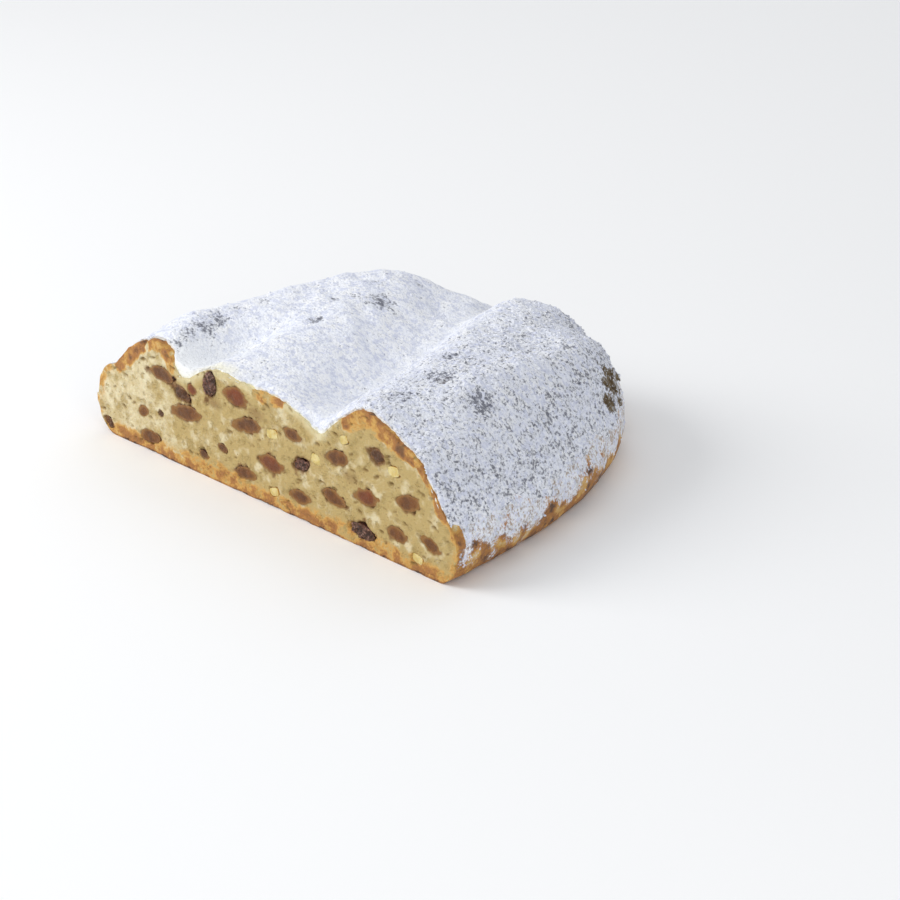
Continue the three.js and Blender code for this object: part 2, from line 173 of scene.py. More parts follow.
def insideDistance(x, y):
    reach, fullness = outlineSide(x)
    across = np.maximum(np.abs(x - form["tipAcross"]) / reach, 1e-6)
    along = np.maximum(y / form["loafLength"], 1e-4)
    level = across ** fullness + along ** 2 - 1.0
    slopeX = fullness * across ** (fullness - 1.0) / reach
    slopeY = 2.0 * along / form["loafLength"]
    return np.maximum(-level / np.hypot(slopeX, slopeY), 0.0)


def topHeight(x, y):
    wide, narrow = form["wideLobe"], form["narrowLobe"]
    inside = insideDistance(x, y)
    narrowShare = ramp(*form["lobeChange"], x)
    wideCrown = wide["height"] + wide["hump"] * bell((y - wide["humpAt"]) / wide["humpSpread"])
    wideCrown = wideCrown - wide["fall"] * ramp(*wide["fallOver"], y)
    narrowCrown = narrow["height"] - narrow["fall"] * ramp(*narrow["fallOver"], y)
    crown = blend(wideCrown, narrowCrown, narrowShare)
    end = form["endShoulder"]
    reach = blend(wide["reach"], narrow["reach"], narrowShare)
    reach = blend(reach, end["reach"], ramp(*end["over"], y))
    fullness = blend(wide["fullness"], narrow["fullness"], narrowShare)
    rise = np.sin(np.minimum(inside / reach, 1.0) * math.pi / 2) ** fullness
    z = form["bulgeHeight"] + (crown - form["bulgeHeight"]) * rise
    fold = form["fold"]
    away = fromFold(x, y)
    spread = np.where(away < 0, fold["leftSpread"], fold["rightSpread"])
    depth = fold["depth"] * (1.0 - fold["shallower"] * ramp(*fold["shallowOver"], y))
    z = z - depth * bell(away / spread) * np.minimum(inside / fold["edge"], 1.0)
    cleft = form["cleft"]
    z = z - cleft["depth"] * cleftShare(x, y, cleft["spread"]) * np.minimum(inside / cleft["edge"], 1.0)
    for across, dentDepth, dentSpread in form["dents"]:
        z = z - dentDepth * bell((x - across) / dentSpread) * (1.0 - ramp(*form["dentFade"], y))
    knob = form["leftKnob"]
    share = ramp(0.0, knob["rises"], inside) * (1.0 - ramp(*knob["falls"], inside))
    share = share * (1.0 - ramp(*knob["fade"], y)) * (x < knob["within"])
    z = z + knob["height"] * share
    acrossPlaces, rises = zip(*form["cutRises"])
    z = z + np.interp(x, acrossPlaces, rises) * (1.0 - ramp(*form["cutRiseFade"], y))
    notch = form["notch"]
    z = z - notch["depth"] * bell((x - notch["across"]) / notch["spread"]) * (1.0 - ramp(*notch["fade"], y))
    for across, along, height, swellSpread in form["swells"]:
        z = z + height * bell(np.hypot(x - across, y - along) / swellSpread) * ramp(0.0, 4.0, inside)
    lumps = form["lumps"]
    lump = lumps["height"] * waver(x / lumps["stretch"], y / lumps["stretch"] + 2.0)
    return z + lump * ramp(0.0, lumps["fadeWithin"], inside)


def fromFold(x, y):
    return x - form["fold"]["across"] - form["fold"]["drift"] * y


def cleftShare(x, y, spread):
    cleft = form["cleft"]
    away = x - cleft["across"] - cleft["drift"] * y
    return bell(away / spread) * (1.0 - ramp(*cleft["fade"], y))


def sugarThickness(x, y):
    s = sugarForm
    plain = blend(s["thin"], s["thick"], ramp(s["thinWithin"], s["thickBeyond"], x + y))
    filled = s["inCleft"] * cleftShare(x, y, s["fillSpread"])
    filled = filled + s["inFold"] * bell(fromFold(x, y) / s["fillSpread"])
    full = plain + filled + s["waver"] * waver(x, y)
    return blend(s["rim"], full, ramp(0.0, s["edge"], insideDistance(x, y)))


def doughHeight(x, y):
    sunk = ramp(0.0, sugarForm["sinks"], insideDistance(x, y))
    return topHeight(x, y) - (sugarThickness(x, y) + sugarForm["gap"]) * sunk


def planPoint(across, along, inset=0.0, ruledInset=None):
    # from -1 to 1 across and 0 to 1 along, onto the loaf's plan; the inset is kept all round
    discX = across * np.sqrt(1.0 - along * along / 2.0)
    discY = along * np.sqrt(1.0 - across * across / 2.0)
    reach, fullness = outlineSide(form["tipAcross"] + discX)
    angle = np.arctan2(discY, discX)
    radius = np.hypot(reach * np.cos(angle), form["loafLength"] * np.sin(angle))
    if ruledInset is not None:
        inset = inset + ruledInset(angle)
    shrink = 1.0 - inset / radius
    x = form["tipAcross"] + reach * np.sign(discX) * np.abs(shrink * discX) ** (2.0 / fullness)
    return x, form["loafLength"] * shrink * discY


def sugarInset(angle):
    t = 0.5 + 0.28 * np.sin(angle * 13.0) + 0.22 * np.sin(angle * 29.0 + 1.0)
    return blend(sugarForm["leastInset"], sugarForm["mostInset"], t)


def crowded(t):
    return blend(t, np.sin(t * math.pi / 2), 0.35)


# Meshes from points

def planPlaces(columns, rows):
    across, along = np.linspace(-1.0, 1.0, columns + 1), np.linspace(0.0, 1.0, rows + 1)
    return np.meshgrid(crowded(across), crowded(along))


def planGrid(columns, rows, **inset):
    return planPoint(*planPlaces(columns, rows), **inset)


def countOf(lines):
    return sum(len(line) for line in lines)


def gridIndex(columns, rows, first=0):
    return first + np.arange((rows + 1) * (columns + 1)).reshape(rows + 1, columns + 1)


def rimIndex(index):
    return np.concatenate((index[:-1, 0], index[-1], index[:-1, -1][::-1]))


def stripFaces(lines, turned=False):
    # four-sided faces between neighbouring lines of vertex numbers
    lines = np.asarray(lines)
    a, b = lines[:-1, :-1], lines[:-1, 1:]
    c, d = lines[1:, 1:], lines[1:, :-1]
    order = (a, d, c, b) if turned else (a, b, c, d)
    return np.stack([part.ravel() for part in order], axis=1)


def fillOutline(rim, inside):
    # triangles inside a closed flat outline, through the given inner points, counterclockwise
    flat = [Vector(point) for point in np.vstack((rim, inside)).tolist()]
    made = delaunay_2d_cdt(flat, [], [list(range(len(rim)))], 1, 1e-6)
    source = [found[0] for found in made[3]]
    faces = np.array([[source[i] for i in face] for face in made[2]])
    p = np.vstack((rim, inside))[faces]
    area = np.cross(p[:, 1] - p[:, 0], p[:, 2] - p[:, 0])
    faces[area < 0] = faces[area < 0][:, ::-1]
    return faces[np.abs(area) > 1e-9]


def addObject(name, data):
    made = bpy.data.objects.new(name, data)
    bpy.context.scene.collection.objects.link(made)
    return made


def makePiece(name, points, faceSets, material, masks):
    mesh = bpy.data.meshes.new(name)
    faces = [face for faceSet in faceSets for face in faceSet.tolist()]
    mesh.from_pydata(((points - frameMiddle) * mm).tolist(), [], faces, shade_flat=False)
    mesh.update()
    for key, values in masks.items():
        mesh.attributes.new(key, "FLOAT", "POINT").data.foreach_set("value", values.astype(np.float32))
    mesh.validate()
    mesh.materials.append(material)
    return addObject(name, mesh)


def triangles(piece):
    return sum(len(face.vertices) - 2 for face in piece.data.polygons)


# Shader helpers

def srgb(red, green, blue):
    linear = []
    for value in (red, green, blue):
        v = value / 255.0
        linear.append(v / 12.92 if v <= 0.04045 else ((v + 0.055) / 1.055) ** 2.4)
    return (*linear, 1.0)


class Wire:
    # what comes out of a node; sums and products of such values make math nodes
    def __init__(self, socket):
        self.socket = socket
        self.tree = socket.id_data

    def combine(self, operation, other, clamp=False):
        settings = {"operation": operation, "use_clamp": clamp}
        return Wire(addNode(self.tree, "ShaderNodeMath", {0: self, 1: other}, **settings).outputs[0])

    def __add__(self, other):
        return self.combine("ADD", other)

    def __sub__(self, other):
        return self.combine("SUBTRACT", other)

    def __mul__(self, other):
        return self.combine("MULTIPLY", other)

    def remap(self, low, high, toLow=0.0, toHigh=1.0):
        values = {"Value": self, "From Min": low, "From Max": high, "To Min": toLow, "To Max": toHigh}
        made = addNode(self.tree, "ShaderNodeMapRange", values, interpolation_type="SMOOTHSTEP")
        return Wire(made.outputs[0])

    def mix(self, a, b):
        # colour a where this is 0, colour b where it is 1
        made = addNode(self.tree, "ShaderNodeMix", {0: self, 6: a, 7: b}, data_type="RGBA")
        return Wire(made.outputs[2])


def setInputs(node, values):
    for key, value in values.items():
        if isinstance(value, Wire):
            value.tree.links.new(value.socket, node.inputs[key])
        else:
            node.inputs[key].default_value = value


def addNode(tree, kind, values=None, **settings):
    made = tree.nodes.new(kind)
    for key, value in settings.items():
        setattr(made, key, value)
    setInputs(made, values or {})
    return made


def mask(tree, name):
    return Wire(addNode(tree, "ShaderNodeAttribute", attribute_name=name).outputs["Fac"])


def noise(place, scale, detail=2.0, roughness=0.5):
    values = {"Vector": place, "Scale": scale, "Detail": detail, "Roughness": roughness}
    return Wire(addNode(place.tree, "ShaderNodeTexNoise", values).outputs[0])


def cells(place, scale, smoothness=None):
    settings = {"feature": "SMOOTH_F1"} if smoothness else {}
    made = addNode(place.tree, "ShaderNodeTexVoronoi", {"Vector": place, "Scale": scale}, **settings)
    if smoothness:
        setInputs(made, {"Smoothness": smoothness})
    return Wire(made.outputs["Distance"])


def bumped(height, strength, distance):
    values = {"Height": height, "Strength": strength, "Distance": distance}
    return Wire(addNode(height.tree, "ShaderNodeBump", values).outputs[0])


def colours(**given):
    return {name: srgb(*value) for name, value in given.items()}


def startMaterial(name):
    material = bpy.data.materials.new(name)
    material.use_nodes = True
    tree = material.node_tree
    tree.nodes.clear()
    surface = addNode(tree, "ShaderNodeBsdfPrincipled")
    addNode(tree, "ShaderNodeOutputMaterial", {"Surface": Wire(surface.outputs[0])})
    return material, surface, Wire(addNode(tree, "ShaderNodeTexCoord").outputs["Object"])


def startGroup(name, kind, inputs, outputs):
    # inputs and outputs say what kind of value each name carries
    tree = bpy.data.node_groups.new(name, kind + "NodeTree")
    identifiers = {}
    for direction, sockets in (("INPUT", inputs), ("OUTPUT", outputs)):
        for key, carries in sockets.items():
            made = tree.interface.new_socket(key, in_out=direction, socket_type="NodeSocket" + carries)
            identifiers[direction, key] = made.identifier
    start = tree.nodes.new("NodeGroupInput")
    given = {key: Wire(start.outputs[key]) for key in inputs}
    return tree, given, tree.nodes.new("NodeGroupOutput"), identifiers


def useGroup(place, group, values):
    made = addNode(place.tree, "ShaderNodeGroup", {"Place": place, **values}, node_tree=group)
    return {socket.name: Wire(socket) for socket in made.outputs}


def makeMottleGroup():
    # broad and fine unevenness, and both in one value, for crumb, crust, fruit and sugar
    values = {"Broad": "Float", "Fine": "Float"}
    inputs, outputs = {"Place": "Vector", **values}, {**values, "Both": "Float"}
    tree, given, end, _ = startGroup("mottle", "Shader", inputs, outputs)
    broad = noise(given["Place"], given["Broad"], 4.0, 0.6)
    fine = noise(given["Place"], given["Fine"], 3.0, 0.65)
    setInputs(end, {"Broad": broad, "Fine": fine, "Both": (broad + fine) * 0.5})
    return tree


def makePowderGroup():
    # powdered sugar: its height for the bump, and its colour, with painted shade in the low grain and in
    # pinhole pits, which show more where it lies thin
    inputs = {"Place": "Vector", "Thin": "Float", "PackedAndLit": "Float", "PitColour": "Color", "Cover": "Float"}
    outputs = {"Colour": "Color", "Height": "Float"}
    tree, given, end, _ = startGroup("powder", "Shader", inputs, outputs)
    place, thin = given["Place"], given["Thin"]
    broad = noise(place, 160.0, 3.0, 0.6)
    cloud = noise(place, 430.0, 2.0, 0.6)
    grain = noise(place, 1000.0, 3.0, 0.7)
    flake = cells(place, 1150.0)
    # the pinhole pits are painted shade between the grains, drawn in the pit colour
    shadedPinholes = grain * 1.8 + flake * -0.4 - 0.34
    # where the sugar is thin, more of the painted pit shade shows
    level = thin * 0.6 - 0.16 + broad.remap(0.3, 0.7, -0.1, 0.1) + cloud.remap(0.3, 0.7, -0.16, 0.16)
    dark = (level - shadedPinholes).remap(-0.2, 0.2) * given["Cover"]
    white = broad.remap(0.32, 0.66).mix(srgb(243, 246, 255), srgb(251, 252, 255))
    # grey where the grain lies low is painted shade between the grains
    grainWithPitShade = (cloud * 0.55 + grain * 0.45).remap(0.4, 0.55).mix(srgb(218, 222, 238), white)
    # packed sugar is painted whiter: partly its smooth thick powder, partly painted light where the cleft
    # catches the lamp
    packedAndLit = given["PackedAndLit"].mix(grainWithPitShade, srgb(250, 252, 255))
    veil = thin.remap(0.2, 1.0) * cloud.remap(0.35, 0.62, 0.0, 0.55)
    colour = dark.mix(veil.mix(packedAndLit, srgb(186, 189, 200)), given["PitColour"])
    setInputs(end, {"Colour": colour, "Height": grain + flake * -0.6})
    return tree


mottle = makeMottleGroup()
powder = makePowderGroup()


def makeLoafMaterial():
    material, surface, place = startMaterial("breadAndCrust")
    tree = place.tree
    look = colours(
        crumbPale=(230, 218, 182), crumbDeep=(186, 162, 106), cream=(236, 226, 192),
        cellDeep=(178, 152, 92), speck=(150, 122, 68), soaked=(230, 220, 178),
        golden=(207, 160, 84), crust=(168, 114, 58), dark=(88, 58, 36),
        pore=(136, 108, 60), fruitStain=(120, 82, 44), dusty=(158, 132, 104),
    )
    uneven = useGroup(place, mottle, {"Broad": 130.0, "Fine": 1100.0})
    fine = uneven["Fine"]
    blots = noise(place, 210.0)
    tone = uneven["Broad"].remap(0.32, 0.68) * 0.6 + fine.remap(0.3, 0.7) * 0.35
    deep = tone.combine("ADD", mask(tree, "deepen") * 0.7, clamp=True)
    crumb = deep.mix(look["crumbPale"], look["crumbDeep"])
    creamy = blots - mask(tree, "deepen") * 0.04
    crumb = creamy.remap(0.48, 0.7, 0.0, 0.6).mix(crumb, look["cream"])
    # small hollows in the crumb are painted darker, as painted shade in its cells
    hollow = (cells(place, 330.0, 0.6) + fine.remap(0.3, 0.7, -0.14, 0.14)).remap(0.42, 0.08)
    crumb = (hollow * 0.75).mix(crumb, look["cellDeep"])
    speck = (cells(place, 560.0) + uneven["Broad"] * -0.25).remap(0.05, -0.07)
    crumb = (speck * 0.8).mix(crumb, look["speck"])
    crumb = mask(tree, "soaked").mix(crumb, look["soaked"])
    crumb = mask(tree, "stain").mix(crumb, look["fruitStain"])
    # crust goes from golden to brown to dark, with the change broken up
    unevenly = (blots + fine * 0.4).remap(0.5, 0.9, -0.32, 0.32)
    unevenly = unevenly * mask(tree, "underside").remap(0.0, 1.0, 1.0, 0.4)
    baked = mask(tree, "baked")
    baked = baked.combine("ADD", unevenly * baked.remap(0.05, 0.4), clamp=True)
    crust = baked.remap(0.25, 0.62).mix(look["golden"], look["crust"])
    crust = baked.remap(0.66, 1.0).mix(crust, look["dark"])
    colour = baked.remap(0.04, 0.34).mix(crumb, crust)
    # pores are painted darker: painted shade inside them
    colour = mask(tree, "pore").mix(colour, look["pore"])
    dusted = useGroup(place, powder, {"Thin": 0.6, "PitColour": look["dusty"], "Cover": 0.8})
    dustEdge = mask(tree, "dust") + uneven["Both"].remap(0.35, 0.65, -0.3, 0.3)
    colour = dustEdge.remap(0.35, 0.7).mix(colour, dusted["Colour"])
    height = fine + cells(place, 620.0).remap(0.0, 0.32, -0.5, 0.0) + hollow * -0.7
    setInputs(surface, {
        "Base Color": colour, "Normal": bumped(height, 0.7, 0.0006),
        "Roughness": baked.remap(0.2, 1.0, 0.85, 0.6), "Subsurface Weight": 0.12,
        "Subsurface Radius": (1.0, 0.7, 0.4), "Subsurface Scale": 0.002,
    })
    return material


def makeSugarMaterial():
    material, surface, place = startMaterial("powderedSugar")
    # under is grey painted shade for the pits in the powder; over the brown spots the pits show bare crust
    # instead
    look = colours(cream=(240, 236, 214), under=(104, 106, 118), bare=(122, 108, 84),
                   bareDark=(78, 60, 38), frosting=(188, 188, 192))
    uneven = useGroup(place, mottle, {"Broad": 300.0, "Fine": 900.0})
    brown = mask(place.tree, "brownUnder")
    bare = uneven["Both"].remap(0.38, 0.58).mix(look["bareDark"], look["bare"])
    bare = uneven["Broad"].remap(0.56, 0.66).mix(bare, look["frosting"])
    powdered = useGroup(place, powder, {
        "Thin": mask(place.tree, "thin"), "PackedAndLit": mask(place.tree, "packedAndLit"),
        "PitColour": brown.mix(look["under"], bare), "Cover": brown.remap(0.0, 1.0, 0.85, 1.0),
    })
    setInputs(surface, {
        "Base Color": mask(place.tree, "cream").mix(powdered["Colour"], look["cream"]),
        "Normal": bumped(powdered["Height"], 0.75, 0.0007), "Roughness": 0.92,
        "Specular IOR Level": 0.25, "Subsurface Weight": 0.1,
        "Subsurface Radius": (1.0, 1.0, 1.0), "Subsurface Scale": 0.0012,
    })
    return material


def makeRaisinMaterial():
    material, surface, place = startMaterial("raisin")
    tree = place.tree
    look = colours(skin=(112, 72, 58), darkSkin=(50, 30, 24), ridge=(178, 138, 122),
                   flesh=(122, 78, 34), fleshDeep=(92, 58, 28), redFlesh=(124, 62, 26),
                   darkFlesh=(86, 58, 36), edge=(146, 104, 52))
    uneven = useGroup(place, mottle, {"Broad": 320.0, "Fine": 1500.0})
    flesh = uneven["Broad"].remap(0.35, 0.65).mix(look["fleshDeep"], look["flesh"])
    flesh = mask(tree, "red").mix(flesh, look["redFlesh"])
    flesh = mask(tree, "dark").mix(flesh, look["darkFlesh"])
    flesh = mask(tree, "inner").mix(look["edge"], flesh)
    skin = uneven["Both"].remap(0.4, 0.62).mix(look["darkSkin"], look["skin"])
    # the crests of the standing raisins' wrinkles get a painted highlight
    skin = (mask(tree, "ridge") * uneven["Fine"].remap(0.42, 0.62)).mix(skin, look["ridge"])
    setInputs(surface, {
        "Base Color": mask(tree, "flesh").mix(skin, flesh), "Normal": bumped(uneven["Both"], 0.7, 0.0008),
        "Roughness": uneven["Fine"].remap(0.3, 0.7, 0.38, 0.62), "Specular IOR Level": 0.35,
        "Subsurface Weight": 0.2, "Subsurface Radius": (1.0, 0.45, 0.2), "Subsurface Scale": 0.0015,
    })
    return material


def makePeelMaterial():
    material, surface, place = startMaterial("candiedPeel")
    uneven = useGroup(place, mottle, {"Broad": 380.0, "Fine": 1400.0})
    look = colours(flesh=(222, 204, 142), fleshDeep=(206, 180, 104), rind=(206, 160, 86))
    flesh = uneven["Broad"].remap(0.35, 0.65).mix(look["flesh"], look["fleshDeep"])
    colour = mask(place.tree, "flesh").mix(look["rind"], flesh)
    setInputs(surface, {
        "Base Color": colour, "Normal": bumped(uneven["Both"], 0.35, 0.0004),
        "Roughness": uneven["Fine"].remap(0.3, 0.7, 0.25, 0.45),
        "Subsurface Weight": 0.35, "Subsurface Radius": (1.0, 0.8, 0.3), "Subsurface Scale": 0.002,
    })
    return material


loafMaterial = makeLoafMaterial()
sugarMaterial = makeSugarMaterial()
raisinMaterial = makeRaisinMaterial()
peelMaterial = makePeelMaterial()
print("materials: loaf, sugar, raisin and peel")


# The fruit's places come from the frame's own solids

def fruitFrom(nodeName):
    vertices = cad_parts[nodeName].data.vertices
    points = np.empty(len(vertices) * 3)
    vertices.foreach_get("co", points)
    points = points.reshape(-1, 3) / mm + frameMiddle
    flat = points[:, [0, 2]]
    middle = (flat.max(axis=0) + flat.min(axis=0)) / 2
    values, vectors = np.linalg.eigh(np.cov((flat - middle).T))
    long = vectors[:, 1] * (1.0 if vectors[0, 1] >= 0 else -1.0)
    high = np.array([-long[1], long[0]])
    reach = [np.ptp((flat - middle) @ axis) / 2 for axis in (long, high)]
    return {"name": nodeName, "middle": middle, "long": long, "high": high, "half": reach,
            "front": points[:, 1].min(), "back": points[:, 1].max()}


fruits = [fruitFrom(name) for name in sorted(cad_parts) if name.startswith(("raisin", "peel"))]
print("fruit in the cut:", len(fruits))


def fruitRadius(fruit, x, z):
    # 1 on the edge of a piece of fruit where it meets the cut
    away = np.column_stack((x, z)) - fruit["middle"]
    u = away @ fruit["long"] / fruit["half"][0]
    v = away @ fruit["high"] / fruit["half"][1]
    if fruit["name"].startswith("peel"):
        return (u ** 4 + v ** 4) ** 0.25  # cut into blocks
    return np.hypot(u, v / (1.1 - 0.3 * np.minimum(u * u, 1.4)))  # a little pointed at the ends


# The loaf: crust all round, and the crumb where it was cut

loafLook = {
    "columns": 180, "rows": 90, "upperRings": 5, "lowerRings": 16,
    "crumbStep": 0.42, "crumbMargin": 0.24, "seed": 11,
    "pores": 420, "poreSizes": (0.22, 1.15), "poreShape": (1.25, 0.6),
    "crevices": 22, "creviceSizes": (0.5, 1.2), "creviceShape": (1.5, 0.42),
    # where crust shows along the top of the cut: from, to, thickness and how brown
    "crustArcs": ((9.6, 25.6, 5.4, 0.54), (27.2, 39.6, 5.4, 0.52), (76.5, 91.0, 5.0, 0.42),
                  (117.0, 147.0, 6.2, 0.56), (147.0, 163.5, 3.6, 0.46)),
    "leftRim": {"thickness": 4.5, "baked": 0.27},
    "baseBand": {"thickness": 6.8, "baked": 0.44, "line": 0.7, "lineBaked": 0.74},
    # where the golden band along the base is thicker: across, more, spread
    "baseSwells": ((55.0, 3.2, 13.0), (118.0, 1.6, 18.0)),
    # where the dough under the sugar is soaked: on the cut and on the top just behind it
    "soakedOver": (40.5, 110.5), "paleOver": (38.5, 110.5), "softEnds": 2.5, "soakedDepth": 3.4,
    # fruit just under the crumb: across, up, long, high, strength
    "shadowsOfFruit": ((77.6, 29.4, 5.0, 2.6, 0.45), (58.4, 27.0, 3.6, 2.2, 0.5),
                       (120.0, 22.0, 4.0, 2.4, 0.35)),
    "pitDepth": 1.7, "baseLift": 0.6,
}


def loafRing(places, inset, height, rough):
    # one line of points round the loaf, with the crust's unevenness, which has knobs near the cut
    x, y = planPoint(*places, **inset)
    flat = pointsAt(x, y, 3.0 * height)
    bump = form["crustRoughness"] * waver(x * 1.7 + 3.0, y * 1.7)
    bump = bump + noises(flat, (0.35, 4.5, 21), (0.2, 1.8, 22))
    bump = bump + noises(flat, (1.1, 7.0, 23)) * bell(y / 9.0)
    return planPoint(*places, **{**inset, "inset": inset.get("inset", 0.0) - bump * rough})


def makeLoaf():
    look = loafLook
    columns, rows = look["columns"], look["rows"]
    topIndex = gridIndex(columns, rows)
    places = [part.ravel()[rimIndex(topIndex)] for part in planPlaces(columns, rows)]
    x, y = planGrid(columns, rows, ruledInset=sugarInset)
    flat = pointsAt(x, y)
    relief = noises(flat, (0.25, 5.0, 31), (0.12, 2.0, 32))
    relief = relief + noises(flat, (0.4, 1.7, 33)) * bell(flat[:, 1] / 2.0)
    points = [pointsAt(x, y, doughHeight(x, y) + relief.reshape(x.shape))]
    rings = [rimIndex(topIndex)]

    def addRing(x, y, z):
        rings.append(countOf(points) + np.arange(len(x)))
        points.append(pointsAt(x, y, z))

    bulge = form["bulgeHeight"]
    for step in range(1, look["upperRings"] + 1):
        share = 1.0 - step / look["upperRings"]
        rule = {"ruledInset": lambda angle, share=share: share * sugarInset(angle)}
        x, y = loafRing(places, rule, bulge + 4.0 * share, 1.0 - share)
        addRing(x, y, doughHeight(x, y) if share > 0 else bulge)
    for step in range(1, look["lowerRings"]):
        turn = step / look["lowerRings"] * math.pi / 2
        inset = form["baseInset"] * (1.0 - math.cos(turn) ** (2.0 / form["undersideFullness"]))
        height = bulge * (1.0 - math.sin(turn))
        addRing(*loafRing(places, {"inset": inset}, height, math.cos(turn) ** 0.5), height)
    x, y = planGrid(columns, rows, inset=form["baseInset"])
    lift = look["baseLift"] * np.maximum(noises(pointsAt(x, y), (1.0, 6.0, 41), (0.7, 1.9, 42)), 0.0)
    baseIndex = gridIndex(columns, rows, countOf(points))
    points.append(pointsAt(x, y, lift.reshape(x.shape)))
    rings = np.array(rings + [rimIndex(baseIndex)])
    points = np.vstack(points)
    count = len(points)

    # the cut's outline, counterclockwise as one faces the cut
    rim = np.concatenate((baseIndex[0], rings[1:-1, -1][::-1], topIndex[0][::-1], rings[1:-1, 0]))
    points[rim, 1] = 0.0
    crumb = crumbPoints(points[rim])
    filled = fillOutline(points[rim][:, [0, 2]], crumb[:, [0, 2]])
    numbers = np.concatenate((rim, count + np.arange(len(crumb))))
    faces = [stripFaces(topIndex), stripFaces(rings), stripFaces(baseIndex, turned=True), numbers[filled]]
    points = np.vstack((points, crumb))
    onCut = np.arange(len(points)) >= count
    onCut[rim] = True
    masks = loafMasks(points, onCut, rim)
    return makePiece("loafBody", points, faces, loafMaterial, masks)


def crumbPoints(rim):
    # an even, slightly shaken net of points inside the cut's outline, all on the cut
    look = loafLook
    step = look["crumbStep"] * 1.0
    random = np.random.default_rng(look["seed"])
    zs = np.arange(0.2, 50.0, step * 0.866)
    xs = np.arange(0.0, form["cutWidth"], step)
    x = xs[None, :] + (np.arange(len(zs)) % 2)[:, None] * step / 2
    z = zs[:, None] + 0.0 * x
    net = np.column_stack((x.ravel(), z.ravel())) + random.uniform(-0.1, 0.1, (x.size, 2)) * step
    outline = rim[:, [0, 2]]
    inside = np.zeros(len(net), bool)
    following = np.roll(outline, -1, axis=0)
    for (ax, az), (bx, bz) in zip(outline, following):
        crosses = (az > net[:, 1]) != (bz > net[:, 1])
        if abs(bz - az) > 1e-12:
            inside ^= crosses & (net[:, 0] < ax + (net[:, 1] - az) / (bz - az) * (bx - ax))
    net = net[inside]
    net = net[rimDistance(net, outline) > look["crumbMargin"]]
    return pointsAt(net[:, 0], 0.0, net[:, 1])


def rimDistance(flat, outline):
    # distance from points of the cut to its outline
    nearest = np.full(len(flat), 1e9)
    following = np.roll(outline, -1, axis=0)
    for a, b in zip(outline, following):
        along = b - a
        length = max(along @ along, 1e-12)
        t = np.clip((flat - a) @ along / length, 0.0, 1.0)
        away = flat - a - t[:, None] * along
        nearest = np.minimum(nearest, np.einsum("ij,ij->i", away, away))
    return np.sqrt(nearest)


def cutRelief(x, z):
    # how deep the crumb lies behind the knife's path: broad waves and small tears
    return noises(pointsAt(x, 0.0, z), (0.24, 8.0, 51), (0.16, 2.4, 52), (0.1, 1.0, 53))


def fruitEdge(fruit, x, z):
    # like fruitRadius, with the uneven outline that the fruit shows in the cut
    uneven = noises(pointsAt(x, 0.0, z), (0.3, 3.4, 61), (0.2, 1.5, 63), (0.1, 0.7, 64))
    return fruitRadius(fruit, x, z) * (1.0 + uneven)


def makePores(flat, depth):
    # pores, and longer crevices, which deepen the cut; the answer is how much painted shade each point gets
    # from lying in the pores
    look = loafLook
    pore = np.zeros(len(flat))
    random = np.random.default_rng(look["seed"] + 1)
    low, high = look["poreSizes"]
    for number in range(look["pores"] + look["crevices"]):
        middle = random.uniform(2.0, form["cutWidth"] - 2.0), random.uniform(1.5, 46.0)
        size = low + (high - low) * random.random() ** 3.2
        tilt = random.uniform(-0.5, 0.5)
        long, flatness = look["poreShape"]
        if number >= look["pores"]:
            size = random.uniform(*look["creviceSizes"])
            long, flatness = look["creviceShape"]
            tilt = random.uniform(-0.7, 0.7)
        away = flat[:, [0, 2]] - middle
        close = np.abs(away).max(axis=1) < 3.0 * size + 1.0
        u = away[close] @ np.array([math.cos(tilt), math.sin(tilt)]) / (long * size)
        v = away[close] @ np.array([-math.sin(tilt), math.cos(tilt)]) / (flatness * size)
        ragged = 1.0 + 0.75 * softNoise(flat[close], 0.9, 60)
        hollow = np.clip(1.0 - (u * u + v * v) * ragged, 0.0, 1.0)
        depth[close] = np.maximum(depth[close], size * 0.65 * np.sqrt(hollow))
        pore[close] = np.maximum(pore[close], hollow ** 0.7 * min(0.95, 0.3 + size * 0.6))
    return pore


